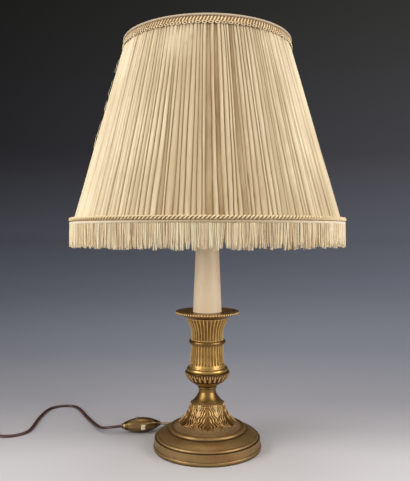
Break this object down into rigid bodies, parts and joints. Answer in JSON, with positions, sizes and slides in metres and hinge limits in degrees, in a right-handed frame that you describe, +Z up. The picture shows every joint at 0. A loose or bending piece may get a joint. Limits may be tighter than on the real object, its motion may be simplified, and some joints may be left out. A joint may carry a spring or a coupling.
{
  "type": "candlestick table lamp",
  "caption": "Table lamp: a cast bronze candlestick with an ivory candle sleeve, under a pleated cream empire shade with braid and fringe, with a corded in-line switch and plug.",
  "frame": {"origin": "centre of the foot's underside, on the table", "axes": "+Z up the stem, -Y towards the front of the lamp, the lead leaves to -X"},
  "size_m": [0.5481, 0.3268, 0.487],
  "materials": {
    "cast_bronze": "aged dark bronze, satin, rubbed bright on the ridges",
    "dark_bronze": "aged dark bronze, satin",
    "polished_brass": "polished, slightly aged",
    "gilt_bronze": "champagne gilding, worn in the flutes",
    "zinc_steel": "zinc plated",
    "black_plastic": "moulded, matte",
    "ivory_tube": "ivory card tube, satin",
    "porcelain": "glazed insulating core",
    "nickel_brass": "nickel plated brass",
    "contact_brass": "bare brass",
    "bulb_glass": "clear glass",
    "stem_glass": "clear glass",
    "filament": "tungsten wire",
    "white_wire": "white lacquered wire",
    "lining_cloth": "plain cream lining",
    "pleated_cloth": "finely pleated cream cloth",
    "cream_braid": "woven cream braid",
    "cream_fringe": "cream thread fringe",
    "clear_cord": "clear two-core flat lead",
    "switch_brass": "bronzed, glossy",
    "ivory_plastic": "ivory moulding",
    "brown_cord": "dark brown two-core flat lead",
    "brown_plastic": "dark brown moulding"
  },
  "bodies": {
    "root": {"foot": "cast_bronze", "neck": "polished_brass", "urn": "dark_bronze", "lower_socket": "gilt_bronze", "socket_ring": "polished_brass", "upper_socket": "gilt_bronze", "drip_pan": "dark_bronze", "threaded_rod": "zinc_steel", "rod_washer": "zinc_steel", "rod_nut_lower": "zinc_steel", "rod_nut_upper": "zinc_steel", "cable_bush": "black_plastic", "inner_lead": "clear_cord", "candle_sleeve": "ivory_tube", "holder_cap": "black_plastic", "holder_body": "black_plastic", "holder_insert": "porcelain", "screw_shell": "nickel_brass", "centre_contact": "contact_brass", "shade_clamp_ring": "black_plastic", "lead_clear": "clear_cord", "switch_shell_upper": "switch_brass", "switch_shell_lower": "switch_brass", "switch_screw": "zinc_steel", "switch_insert": "black_plastic", "switch_bush_left": "switch_brass", "switch_bush_right": "switch_brass", "lead_brown": "brown_cord", "lead_coil": "brown_cord", "coil_tie": "black_plastic", "lead_tail": "brown_cord", "plug_relief": "brown_plastic", "plug_body": "brown_plastic", "plug_pins": "nickel_brass"},
    "button": {"switch_button": "ivory_plastic"},
    "shade": {"shade_top_ring": "white_wire", "shade_bottom_ring": "white_wire", "shade_struts": "white_wire", "shade_fitter_ring": "white_wire", "shade_fitter_arms": "white_wire", "shade_lining": "lining_cloth", "shade_cover": "pleated_cloth", "shade_top_binding": "cream_braid", "shade_top_gimp": "cream_braid", "shade_bottom_gimp": "cream_braid", "shade_bottom_piping": "cream_braid", "shade_fringe": "cream_fringe"},
    "bulb_base": {"bulb_contact": "contact_brass"},
    "bulb": {"bulb_cap": "nickel_brass", "bulb_glass": "bulb_glass", "bulb_stem": "stem_glass", "bulb_filament": "filament"}
  },
  "joints": [
    {"name": "switch_press", "type": "slide", "parent": "root", "child": "button", "axis": [-0.2224, 0.975, 0], "range_m": [0, 0.003]},
    {"name": "shade_turn", "type": "hinge", "parent": "root", "child": "shade", "pos_m": [0, 0, 0.265], "axis": [0, 0, 1], "continuous": true},
    {"name": "bulb_rise", "type": "slide", "parent": "root", "child": "bulb_base", "axis": [0, 0, 1], "range_m": [0, 0.0099]},
    {"name": "bulb_unscrew", "type": "hinge", "parent": "bulb_base", "child": "bulb", "pos_m": [0, 0, 0.26], "axis": [0, 0, 1], "range_deg": [0, 1260]}
  ],
  "couplings": [
    {"joint": "bulb_rise", "follows": "bulb_unscrew", "m_per_rad": 0.00044914}
  ]
}
